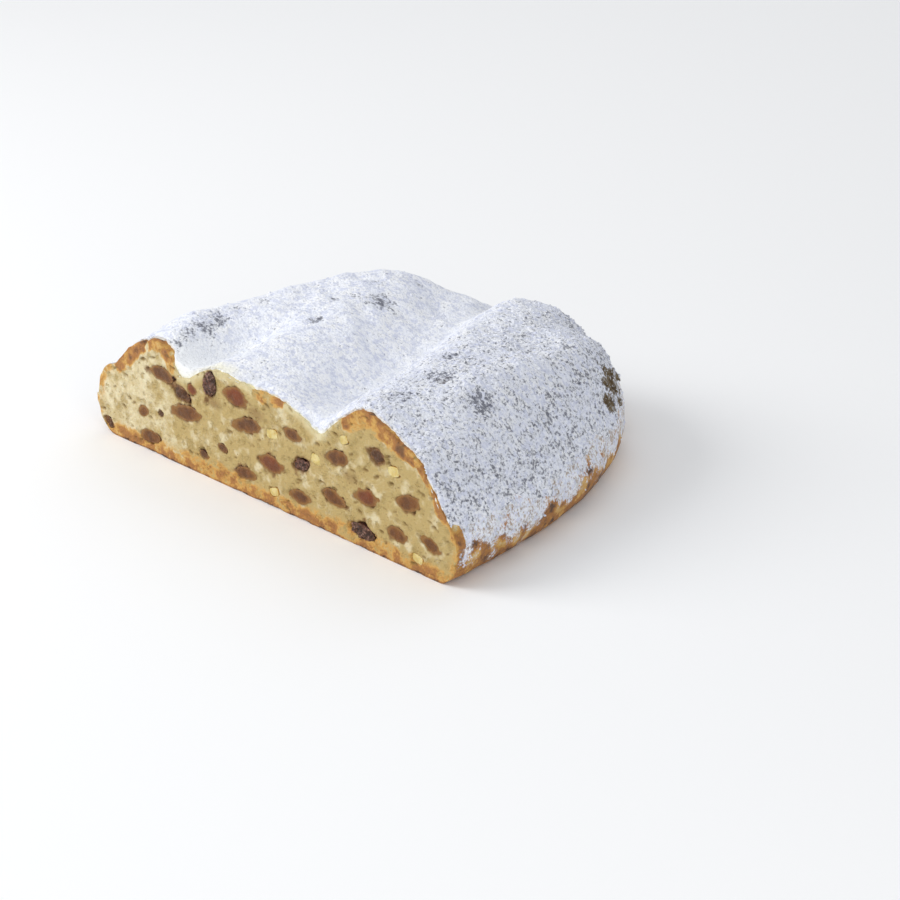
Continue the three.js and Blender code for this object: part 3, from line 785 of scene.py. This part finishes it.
def loafMasks(points, cut, rim):
    look = loafLook
    cx, cz = points[cut, 0], points[cut, 2]
    flat = pointsAt(cx, 0.0, cz)
    edge = rimDistance(flat[:, [0, 2]], points[rim][:, [0, 2]])
    depth = cutRelief(cx, cz)
    pore = makePores(flat, depth)
    stain = np.zeros(len(cx))
    for fruit in fruits:
        radius = fruitEdge(fruit, cx, cz)
        # the crumb dips under the fruit's edge, and further in it makes room for it
        dip = ramp(1.12, 0.96, radius)
        depth = np.where(dip > 0, blend(depth, cutRelief(cx, cz) + 0.34, dip), depth)
        depth = blend(depth, look["pitDepth"], ramp(0.94, 0.84, radius))
        pore = pore * (1.0 - ramp(1.25, 1.05, radius))
        if fruit["name"].startswith("raisin"):
            stain = np.maximum(stain, 0.85 * ramp(1.34, 0.98, radius))
    for across, up, long, high, strength in look["shadowsOfFruit"]:
        radius = np.hypot((cx - across) / long, (cz - up) / high)
        stain = np.maximum(stain, strength * ramp(1.25, 0.3, radius + 0.2 * softNoise(flat, 2.0, 62)))
    points[cut, 1] = np.maximum(depth, -0.35) * ramp(0.0, 0.8, edge)

    baked = np.zeros(len(cx))
    onTop = cz > form["bulgeHeight"] + 4.0
    wobble = noises(flat, (0.5, 3.0, 71), (0.35, 1.1, 72))
    for start, stop, thickness, brown in look["crustArcs"]:
        here = between(start, stop, 0.6, cx + wobble) * onTop
        rounded = 0.62 + 0.38 * np.minimum(np.minimum(cx - start, stop - cx) / 4.0, 1.0)
        uneven = thickness * np.maximum(rounded, 0.2) * (1.0 + 0.25 * softNoise(flat, 4.5, 73))
        band = ramp(1.0, 0.45, (edge + wobble) / uneven)
        baked = np.maximum(baked, band * here * brown)
    left = ramp(12.0, 5.0, cx) * (cz > 5.0) + ramp(150.0, 158.0, cx) * (cz > 5.0)
    rimBand = look["leftRim"]
    baked = np.maximum(baked, left * rimBand["baked"] * ramp(rimBand["thickness"], 0.3, edge + wobble))
    base = look["baseBand"]
    thickness = base["thickness"]
    for at, more, spread in look["baseSwells"]:
        thickness = thickness + more * bell((cx - at) / spread)
    low = ramp(1.0, 0.3, (cz + 1.5 * wobble) / thickness)
    line = ramp(base["line"] * 1.6, base["line"] * 0.6, cz + 0.5 * wobble)
    baked = np.maximum(baked, np.maximum(base["baked"] * low, base["lineBaked"] * line))
    soaked = ramp(look["soakedDepth"], 0.6, edge + wobble) * onTop * ramp(0.3, 0.05, baked)
    soaked = soaked * between(*look["soakedOver"], look["softEnds"], cx)
    onCrumb = {"baked": baked, "deepen": ramp(12.0, 62.0, cx), "soaked": 0.5 * soaked, "stain": stain,
               "pore": pore, "dust": 0.0, "underside": 0.0}
    onCrust = crustMasks(points[~cut])
    masks = {name: np.zeros(len(points)) for name in onCrumb}
    for name, values in masks.items():
        values[cut] = onCrumb[name]
        values[~cut] = onCrust.get(name, 0.0)
    return masks


def crustMasks(place):
    # golden brown, darker low down and on the base, with sugar blown onto it
    look = loafLook
    speckle = noises(place, (0.24, 5.0, 81), (0.16, 1.5, 82))
    brown = 0.58 + 0.26 * ramp(5.0, 0.0, place[:, 2]) + speckle
    underside = ramp(1.6, 0.6, place[:, 2])
    brown = blend(brown, 0.62 + 0.35 * speckle, underside)
    high = ramp(2.0, 14.0, place[:, 2])
    patches = layeredNoise(place, 5.0, 83)
    dust = np.clip(0.85 * high + 0.75 * patches - 0.08, 0.0, 1.0) * (place[:, 2] > 0.8)
    # close to the cut, the top edge is bare crust or soaked dough, as on the cut
    nearCut = ramp(4.6, 3.0, place[:, 1]) * (place[:, 2] > form["bulgeHeight"] + 2.0)
    pale = between(*look["paleOver"], look["softEnds"], place[:, 0]) * nearCut
    knobby = ramp(14.0, 7.0, place[:, 0]) * ramp(16.0, 6.0, place[:, 1]) * (place[:, 2] > 4.0)
    brown = blend(brown, 0.3 + 0.5 * speckle, knobby) * (1.0 - pale)
    return {"baked": np.clip(brown, 0.0, 1.0), "underside": underside, "soaked": pale,
            "dust": dust * (1.0 - nearCut) * (1.0 - 0.7 * knobby)}


loafBody = makeLoaf()
print("loaf:", triangles(loafBody), "triangles")


# The sugar coat: a shell of powder, thick in the hollows, thin where it was blown or rubbed off

sugarLook = {
    "columns": 340, "rows": 230, "skirt": 4, "innerStep": 3.6,
    "rimRagged": 0.8, "rimWaves": ((0.5, 47.0, 2.0), (0.35, 83.0, 0.0), (0.3, 131.0, 0.6)),
    "frontRagged": 1.0, "bareKnob": 5.0, "innerDepth": 0.35,
    # where bare crust shows before the sugar begins: from, to, how far
    "setBacks": ((9.0, 25.8, 2.2), (26.8, 39.0, 1.8), (118.0, 148.0, 0.8)), "setBackEnds": 8.0,
    # thin spots: across, along, size, strength
    "thinSpots": ((37.2, 4.0, 3.2, 0.6), (37.0, 9.2, 4.0, 0.75), (36.4, 16.0, 4.6, 0.9),
                  (35.4, 23.5, 4.6, 0.85), (36.0, 31.0, 3.4, 0.5), (37.0, 41.7, 2.8, 0.4),
                  (74.0, 4.6, 2.4, 0.4), (59.1, 43.5, 2.6, 0.9), (53.6, 57.0, 2.0, 0.8),
                  (63.3, 69.4, 5.0, 0.9), (57.0, 64.0, 3.6, 0.45), (68.9, 68.9, 2.8, 0.4),
                  (53.5, 75.8, 3.2, 0.65), (59.5, 89.4, 3.2, 0.65), (114.8, 47.1, 4.2, 0.9),
                  (121.2, 51.2, 3.6, 0.65), (126.2, 31.9, 6.4, 0.95), (128.0, 14.0, 6.4, 0.75),
                  (136.8, 39.4, 4.8, 0.6), (142.3, 33.1, 6.4, 0.95), (138.6, 98.4, 5.0, 0.8),
                  (147.8, 40.0, 3.6, 0.45), (149.9, 34.0, 4.0, 0.5), (148.2, 59.2, 6.0, 0.45),
                  (143.9, 75.0, 4.4, 0.6), (126.0, 70.8, 4.8, 0.5), (132.3, 92.1, 3.6, 0.6),
                  (136.4, 89.3, 3.6, 0.6), (12.0, 34.0, 5.0, 0.5), (20.0, 58.0, 6.0, 0.5),
                  (36.0, 86.0, 5.0, 0.55), (60.0, 108.0, 5.0, 0.5), (92.0, 116.0, 5.0, 0.55),
                  (118.0, 108.0, 5.0, 0.5)),
    # where the crust's brown shows through: across, along, size, strength
    "brownSpots": ((129.5, 30.0, 2.8, 0.4), (137.0, 96.4, 5.6, 1.6), (134.0, 103.0, 5.4, 1.6),
                   (132.2, 108.6, 5.6, 1.6), (138.8, 101.4, 4.6, 1.6), (141.4, 92.0, 3.6, 1.5)),
    "coarseOver": (102.0, 128.0),
}


def coatInset(angle):
    ragged = sum(high * np.sin(angle * waves + start) for high, waves, start in sugarLook["rimWaves"])
    bareKnob = sugarLook["bareKnob"] * ramp(math.pi - 0.15, math.pi - 0.03, angle)
    return np.maximum(sugarInset(angle) - 0.4 + sugarLook["rimRagged"] * ragged, 0.35) + bareKnob


def frontLine(x):
    # how far behind the cut the sugar begins
    look = sugarLook
    ragged = 0.4 + noises(pointsAt(x, 0.0), (0.6, 3.0, 97), (0.5, 1.2, 100))
    behind = np.clip(look["frontRagged"] * ragged, 0.0, 1.3) * (1.0 - 0.6 * cleftShare(x, 0.0, 8.0))
    for start, stop, reach in look["setBacks"]:
        behind = behind + reach * between(start, stop, 1.0, x)
    return behind


def sugarDirection(x, y):
    step = 0.4
    slopeX = (doughHeight(x + step, y) - doughHeight(x - step, y)) / (2 * step)
    slopeY = (doughHeight(x, y + step) - doughHeight(x, np.maximum(y - step, 0.0))) / (2 * step)
    slopeY = np.where(y <= 0.0, 0.0, slopeY)
    out = np.stack((-slopeX, -slopeY, np.ones_like(x)), axis=-1)
    out = out / np.linalg.norm(out, axis=-1, keepdims=True)
    upright = ramp(4.0, 18.0, insideDistance(x, y))[..., None]
    return blend(out, np.array([0.0, 0.0, 1.0]), upright)


def spotMask(spots, points, cell):
    # how much of any spot shows at each point: 1 in its middle, ragged at its edge
    total = np.zeros(len(points))
    uneven = noises(points, (0.24, cell, 91), (0.16, cell / 2.2, 103))
    for across, along, size, strength in spots:
        centre = np.array([across, along, doughHeight(across, along)])
        away = np.linalg.norm(points - centre, axis=1) / size
        total = np.maximum(total, strength * ramp(1.6, 0.2, away + uneven))
    return total


def makeSugarCoat():
    look = sugarLook
    scale = 1
    columns, rows = look["columns"] // scale, look["rows"] // scale
    x, y = planGrid(columns, rows, ruledInset=coatInset)
    behind = frontLine(x[0])
    y = y + behind[None, :] * (1.0 - ramp(0.0, look["setBackEnds"], y))
    base = np.stack((x, y, doughHeight(x, y)), axis=-1)
    out = sugarDirection(x, y)
    flat = base.reshape(-1, 3)
    flatX, flatY = flat[:, :2].T
    thin = spotMask(look["thinSpots"], flat, 2.4)
    brown = np.minimum(spotMask(look["brownSpots"], flat, 2.0), 1.0)
    coarse = ramp(*look["coarseOver"], flatX + 0.2 * flatY)
    inside = insideDistance(flatX, flatY)
    rimShare = ramp(9.0, 1.0, inside)
    lowShare = ramp(26.0, 4.0, inside)
    back = ramp(20.0, 60.0, flatY)
    relief = blend(0.35, 1.2, back) * layeredNoise(flat, 11.0, 92)
    relief = relief + blend(0.1, 0.5, back) * softNoise(flat, 4.6, 101)
    clumps = 0.34 * ramp(0.75, 0.15, cellDistance(flat, 2.3, 93))
    clumps = clumps + 0.2 * ramp(0.7, 0.2, cellDistance(flat, 1.25, 94))
    roughness = 0.32 + 0.68 * np.maximum(coarse, np.maximum(thin, 0.8 * rimShare))
    relief = relief + (clumps - 0.2) * roughness + 0.1 * softNoise(flat, 0.8, 95) * roughness
    relief = relief - 0.35 * thin * ramp(-0.2, 0.5, softNoise(flat, 1.3, 96))
    thickness = sugarThickness(flatX, flatY) * (1.0 - 0.35 * thin) * (1.0 - 0.55 * rimShare)
    inCleft = cleftShare(flatX, flatY, 8.0)
    fromFront = flatY - np.tile(behind, rows + 1)
    atFront = ramp(3.2, 0.0, fromFront) * (1.0 - inCleft)
    thickness = thickness * (1.0 - atFront * (0.62 + 0.3 * softNoise(flat, 2.2, 99)))
    distance = np.maximum(sugarForm["gap"] + thickness + relief, 0.25)
    outer = base + out * distance.reshape(x.shape)[..., None]
    inner = base - out * (look["innerDepth"] + 0.5 * bell(y / 2.5))[..., None]
    outer[..., 1] = np.maximum(outer[..., 1], 0.1)

    outerIndex = gridIndex(columns, rows)
    loop = np.concatenate((outerIndex[0][::-1], rimIndex(outerIndex)[1:-1]))
    gridPoints = outer.reshape(-1, 3)
    innerFlat = inner.reshape(-1, 3)
    points = [gridPoints]
    skirt = [loop]
    front = np.arange(len(loop)) < columns + 1
    for step in range(1, look["skirt"] + 1):
        share = step / look["skirt"]
        line = blend(gridPoints[loop], innerFlat[loop], share)
        rough = 0.3 * softNoise(line + step, 1.1, 98)
        line[front, 1] = behind[::-1] + np.clip(0.1 + rough[front] + 0.3 * (1 - share), -0.1, 0.7)
        skirt.append(countOf(points) + np.arange(len(loop)))
        points.append(line)
    skirt = np.array(skirt)
    closed = np.hstack((skirt, skirt[:, :1]))
    edge = np.vstack(points)[skirt[-1]]
    step = look["innerStep"]
    x, y = np.meshgrid(np.arange(0.0, form["cutWidth"], step), np.arange(step, form["loafLength"], step))
    under = pointsAt(x, y, doughHeight(x, y) - look["innerDepth"])
    under = under[insideDistance(*under[:, :2].T) > sugarForm["mostInset"] + 3.0]
    filled = fillOutline(edge[:, :2], under[:, :2])[:, ::-1]
    numbers = np.concatenate((skirt[-1], countOf(points) + np.arange(len(under))))
    points = np.vstack(points + [under])
    faces = [stripFaces(outerIndex), stripFaces(closed), numbers[filled]]

    def everywhere(values, rest=0.0):
        # a mask of the outer side, and one value for the skirt and the inner side
        return np.concatenate((np.clip(values, 0.0, 1.0), np.full(len(points) - len(gridPoints), rest)))

    # specks of painted pit shade, more on the coarse end and low down; thin spots show more of them too
    shadeSpecks = 0.36 * coarse + 0.22 * lowShare * (1.0 - 0.7 * rimShare) + 0.08
    thinAndShadeSpecks = everywhere(np.maximum(thin, shadeSpecks))
    melted = ramp(5.0, 0.8, flatY + 0.9 * softNoise(flat, 1.8, 102)) * bell((flatX - 60.0) / 9.0)
    cream = everywhere(0.9 * melted)
    for step in range(1, look["skirt"] + 1):
        cream[skirt[step][front]] = 0.75 * step / look["skirt"]
        thinAndShadeSpecks[skirt[step]] = 0.15
    gone = everywhere(brown)
    # the cleft, strongest near the cut, and the fold are painted whiter: packed sugar and painted light
    inFold = inCleft * blend(1.0, 0.35, ramp(4.0, 26.0, flatY)) + 0.2 * bell(fromFold(flatX, flatY) / 7.0)
    masks = {"thin": np.maximum(thinAndShadeSpecks, 1.25 * gone), "brownUnder": gone, "cream": cream,
             "clumpy": everywhere(0.25 + 0.75 * coarse + 0.5 * rimShare), "packedAndLit": everywhere(inFold, 1.0)}
    return makePiece("sugarCoat", points, faces, sugarMaterial, masks)


sugarCoat = makeSugarCoat()
print("sugar coat:", triangles(sugarCoat), "triangles")


# Raisins and peel, cut through by the knife

fruitLook = {
    "fineness": 5, "behindCut": 0.14, "backwards": 0.3, "shallowest": 1.6, "lowest": 0.15,
    "standsFrom": 0.05,  # a raisin that sticks out of the cut by more than this stands whole
    "darkRaisins": (1, 3, 5, 11, 13, 18, 21, 23), "redRaisins": (4, 6, 16, 22),
}


def makeFruit(fruit):
    look = fruitLook
    kind, number = fruit["name"].split("_")
    number = int(number)
    dark = kind == "raisin" and number in look["darkRaisins"]
    seed = 200 + number * 7 + (500 if kind == "peel" else 0)
    ball = bmesh.new()
    bmesh.ops.create_icosphere(ball, subdivisions=look["fineness"], radius=1.0)
    ball.verts.ensure_lookup_table()
    direction = np.array([vertex.co[:] for vertex in ball.verts])
    faces = np.array([[vertex.index for vertex in face.verts] for face in ball.faces])
    ball.free()
    if kind == "raisin":
        wrinkle = 0.1 * softNoise(direction, 0.9, seed) - 0.13 * np.abs(softNoise(direction, 0.42, seed + 1))
        if dark:
            wrinkle = wrinkle * 2.0 + 0.32 * softNoise(direction, 0.9, seed + 5)
    else:
        largest = np.abs(direction).max(axis=1)
        wrinkle = 0.55 * (0.8 / largest - 1.0) + 0.06 * softNoise(direction, 0.7, seed)
    proud = max(-fruit["front"], 0.0)
    standing = proud > look["standsFrom"]
    body = direction * ((1.04 if standing else 1.2) + wrinkle)[:, None]
    depth = max(fruit["back"], look["shallowest"])
    front = look["behindCut"] - (proud * 1.6 if standing else 0.0)
    middle = front + look["backwards"] * depth
    halfLong, halfHigh = fruit["half"]
    away = np.outer(body[:, 0] * halfLong, fruit["long"]) + np.outer(body[:, 2] * halfHigh, fruit["high"])
    x, z = (fruit["middle"] + away).T
    points = pointsAt(x, middle + body[:, 1] * depth, z)
    radius = fruitEdge(fruit, x, z)
    flatPoints = points * [1, 0, 1]
    if standing:
        creases = 0.8 * np.abs(softNoise(flatPoints, 1.5, seed + 3))
        creases = creases + 0.4 * np.abs(softNoise(flatPoints, 0.7, seed + 4))
        face = front + 0.3 * radius ** 2 + creases
        # the crests between the creases carry a painted highlight
        ridge = 0.8 * ramp(0.42, 0.05, creases)
    else:
        ridge = np.zeros(len(points))
        face = cutRelief(x, z) + look["behindCut"] - 0.06 * (1.0 - radius ** 2)
        face = face + 0.05 * softNoise(flatPoints, 0.9, seed + 2)
    flattened = points[:, 1] < face
    points[:, 1] = np.where(flattened, face, points[:, 1])
    points[:, 2] = np.maximum(points[:, 2], look["lowest"])
    flesh = flattened * 1.0
    if standing:
        flesh = flesh * (0.15 if proud > 0.35 else 0.85) * ramp(1.15, 0.85, radius)
    red = 1.0 if number in look["redRaisins"] else 0.15
    shade = (0.75 if dark else 0.15) + 0.5 * softNoise(flatPoints, 3.0, seed + 6)
    masks = {"flesh": flesh, "red": np.full(len(points), red), "dark": np.clip(shade, 0.0, 1.0),
             "inner": ramp(1.05, 0.55, radius), "ridge": ridge}
    material = raisinMaterial if kind == "raisin" else peelMaterial
    return makePiece(f"{kind}Piece_{number:02d}", points, [faces], material, masks)


fruitPieces = [makeFruit(fruit) for fruit in fruits]
print("fruit pieces:", len(fruitPieces), "of", triangles(fruitPieces[0]), "triangles")


# Sugar clumps, laid by Geometry Nodes on the coat and on the dusted crust

clumpLook = {  # the density is for a square metre, and sizes are in metres
    "sugarClumps": {"Density": 260000.0, "Smallest": 0.00022, "Largest": 0.00062, "Seed": 3,
                    "Mask": "clumpy"},
    "dustClumps": {"Density": 90000.0, "Smallest": 0.00018, "Largest": 0.00045, "Seed": 5,
                   "Mask": "dust"},
}


def scatterTree(name, material):
    inputs = {"Geometry": "Geometry", "Density": "Float", "Smallest": "Float", "Largest": "Float",
              "Seed": "Int", "Mask": "String"}
    tree, given, end, identifiers = startGroup(name, "Geometry", inputs, {"Geometry": "Geometry"})

    def made(kind, values=None, output=0, **settings):
        return Wire(addNode(tree, kind, values, **settings).outputs[output])

    def chance(low, high, seed):
        return made("FunctionNodeRandomValue", {0: low, 1: high, "Seed": seed}, data_type="FLOAT_VECTOR")

    share = made("GeometryNodeInputNamedAttribute", {"Name": given["Mask"]}, "Attribute", data_type="FLOAT")
    density = share.combine("POWER", 2.0) * given["Density"]
    points = made("GeometryNodeDistributePointsOnFaces",
                  {"Mesh": given["Geometry"], "Density": density, "Seed": given["Seed"]}, "Points")
    ball = made("GeometryNodeMeshIcoSphere", {"Radius": 1.0, "Subdivisions": 2}, "Mesh")
    size = made("FunctionNodeRandomValue",
                {2: given["Smallest"], 3: given["Largest"], "Seed": given["Seed"]}, 1, data_type="FLOAT")
    stretch = chance((0.7, 0.7, 0.5), (1.3, 1.2, 0.95), 17)
    turn = chance((-0.5, -0.5, 0.0), (0.5, 0.5, 6.28), 23)
    scale = made("ShaderNodeVectorMath", {0: stretch, "Scale": size}, operation="SCALE")
    laid = made("GeometryNodeInstanceOnPoints",
                {"Points": points, "Instance": ball, "Rotation": turn, "Scale": scale})
    real = made("GeometryNodeRealizeInstances", {"Geometry": laid})
    reach = (made("ShaderNodeTexNoise", {"Scale": 1800.0, "Detail": 1.0}) - 0.5) * given["Largest"]
    normal = made("GeometryNodeInputNormal")
    push = made("ShaderNodeVectorMath", {0: normal, "Scale": reach}, operation="SCALE")
    moved = made("GeometryNodeSetPosition", {"Geometry": real, "Offset": push})
    painted = made("GeometryNodeSetMaterial", {"Geometry": moved, "Material": material})
    setInputs(end, {"Geometry": painted})
    return tree, identifiers


def scatterOn(source, name):
    modifier = source.modifiers.new(name, "NODES")
    modifier.node_group = clumpTree
    for key, value in clumpLook[name].items():
        modifier[clumpInputs["INPUT", key]] = value
    depsgraph = bpy.context.evaluated_depsgraph_get()
    mesh = bpy.data.meshes.new_from_object(source.evaluated_get(depsgraph))
    source.modifiers.remove(modifier)
    mesh.name = name
    mesh.shade_smooth()
    return addObject(name, mesh)


clumpTree, clumpInputs = scatterTree("scatterSugar", sugarMaterial)
sugarClumps = scatterOn(sugarCoat, "sugarClumps")
dustClumps = scatterOn(loafBody, "dustClumps")
print("clumps:", triangles(sugarClumps), "and", triangles(dustClumps), "triangles")


# What each piece stands for

for piece, node, slotName in ((loafBody, "loaf", "dough"), (sugarCoat, "sugar_coat", "sugar")):
    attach(piece, "root")
    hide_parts(node)
for piece, fruit in zip(fruitPieces, fruits):
    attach(piece, "root")
    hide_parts(fruit["name"])
for piece in (sugarClumps, dustClumps):
    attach(piece, "root")


# Floor, light and camera

studio = {
    "eye": (0.57007, -0.56480, 0.37190), "target": (0.01240, 0.00537, 0.0), "lens": 108.27,
    "floor": srgb(250, 250, 250), "air": 0.55,
    # each light: place, size in metres, watts
    "lights": (((-0.62, -0.62, 0.6), 0.6, 6.4), ((0.75, -0.5, 0.45), 0.7, 2.3),
               ((-0.3, 0.7, 0.8), 0.8, 1.4)),
}


def aim(thing, place, target):
    thing.location = place
    thing.rotation_euler = (Vector(target) - Vector(place)).to_track_quat("-Z", "Y").to_euler()


def makeStudio():
    scene = bpy.context.scene
    scene.view_settings.view_transform = "Standard"
    size = 4.0
    corners = [(-size, -size, 0.0), (size, -size, 0.0), (size, size, 0.0), (-size, size, 0.0)]
    mesh = bpy.data.meshes.new("floor")
    mesh.from_pydata(corners, [], [(0, 1, 2, 3)])
    floor = addObject("floor", mesh)
    material = bpy.data.materials.new("paleFloor")
    material.use_nodes = True
    setInputs(material.node_tree.nodes["Principled BSDF"],
              {"Base Color": studio["floor"], "Roughness": 0.9, "Specular IOR Level": 0.1})
    mesh.materials.append(material)
    scene.world = bpy.data.worlds.new("air")
    scene.world.use_nodes = True
    setInputs(scene.world.node_tree.nodes["Background"],
              {"Color": (0.95, 0.97, 1.0, 1.0), "Strength": studio["air"]})
    for number, (place, width, power) in enumerate(studio["lights"]):
        lamp = bpy.data.lights.new(f"softLight{number}", "AREA")
        lamp.size = width
        lamp.energy = power
        aim(addObject(lamp.name, lamp), place, (0.0, 0.0, 0.0))
    scene.camera = addObject("camera", bpy.data.cameras.new("camera"))
    scene.camera.data.sensor_width = 36.0
    scene.camera.data.lens = studio["lens"]
    aim(scene.camera, studio["eye"], studio["target"])


makeStudio()
print("studio: floor, lights and camera")
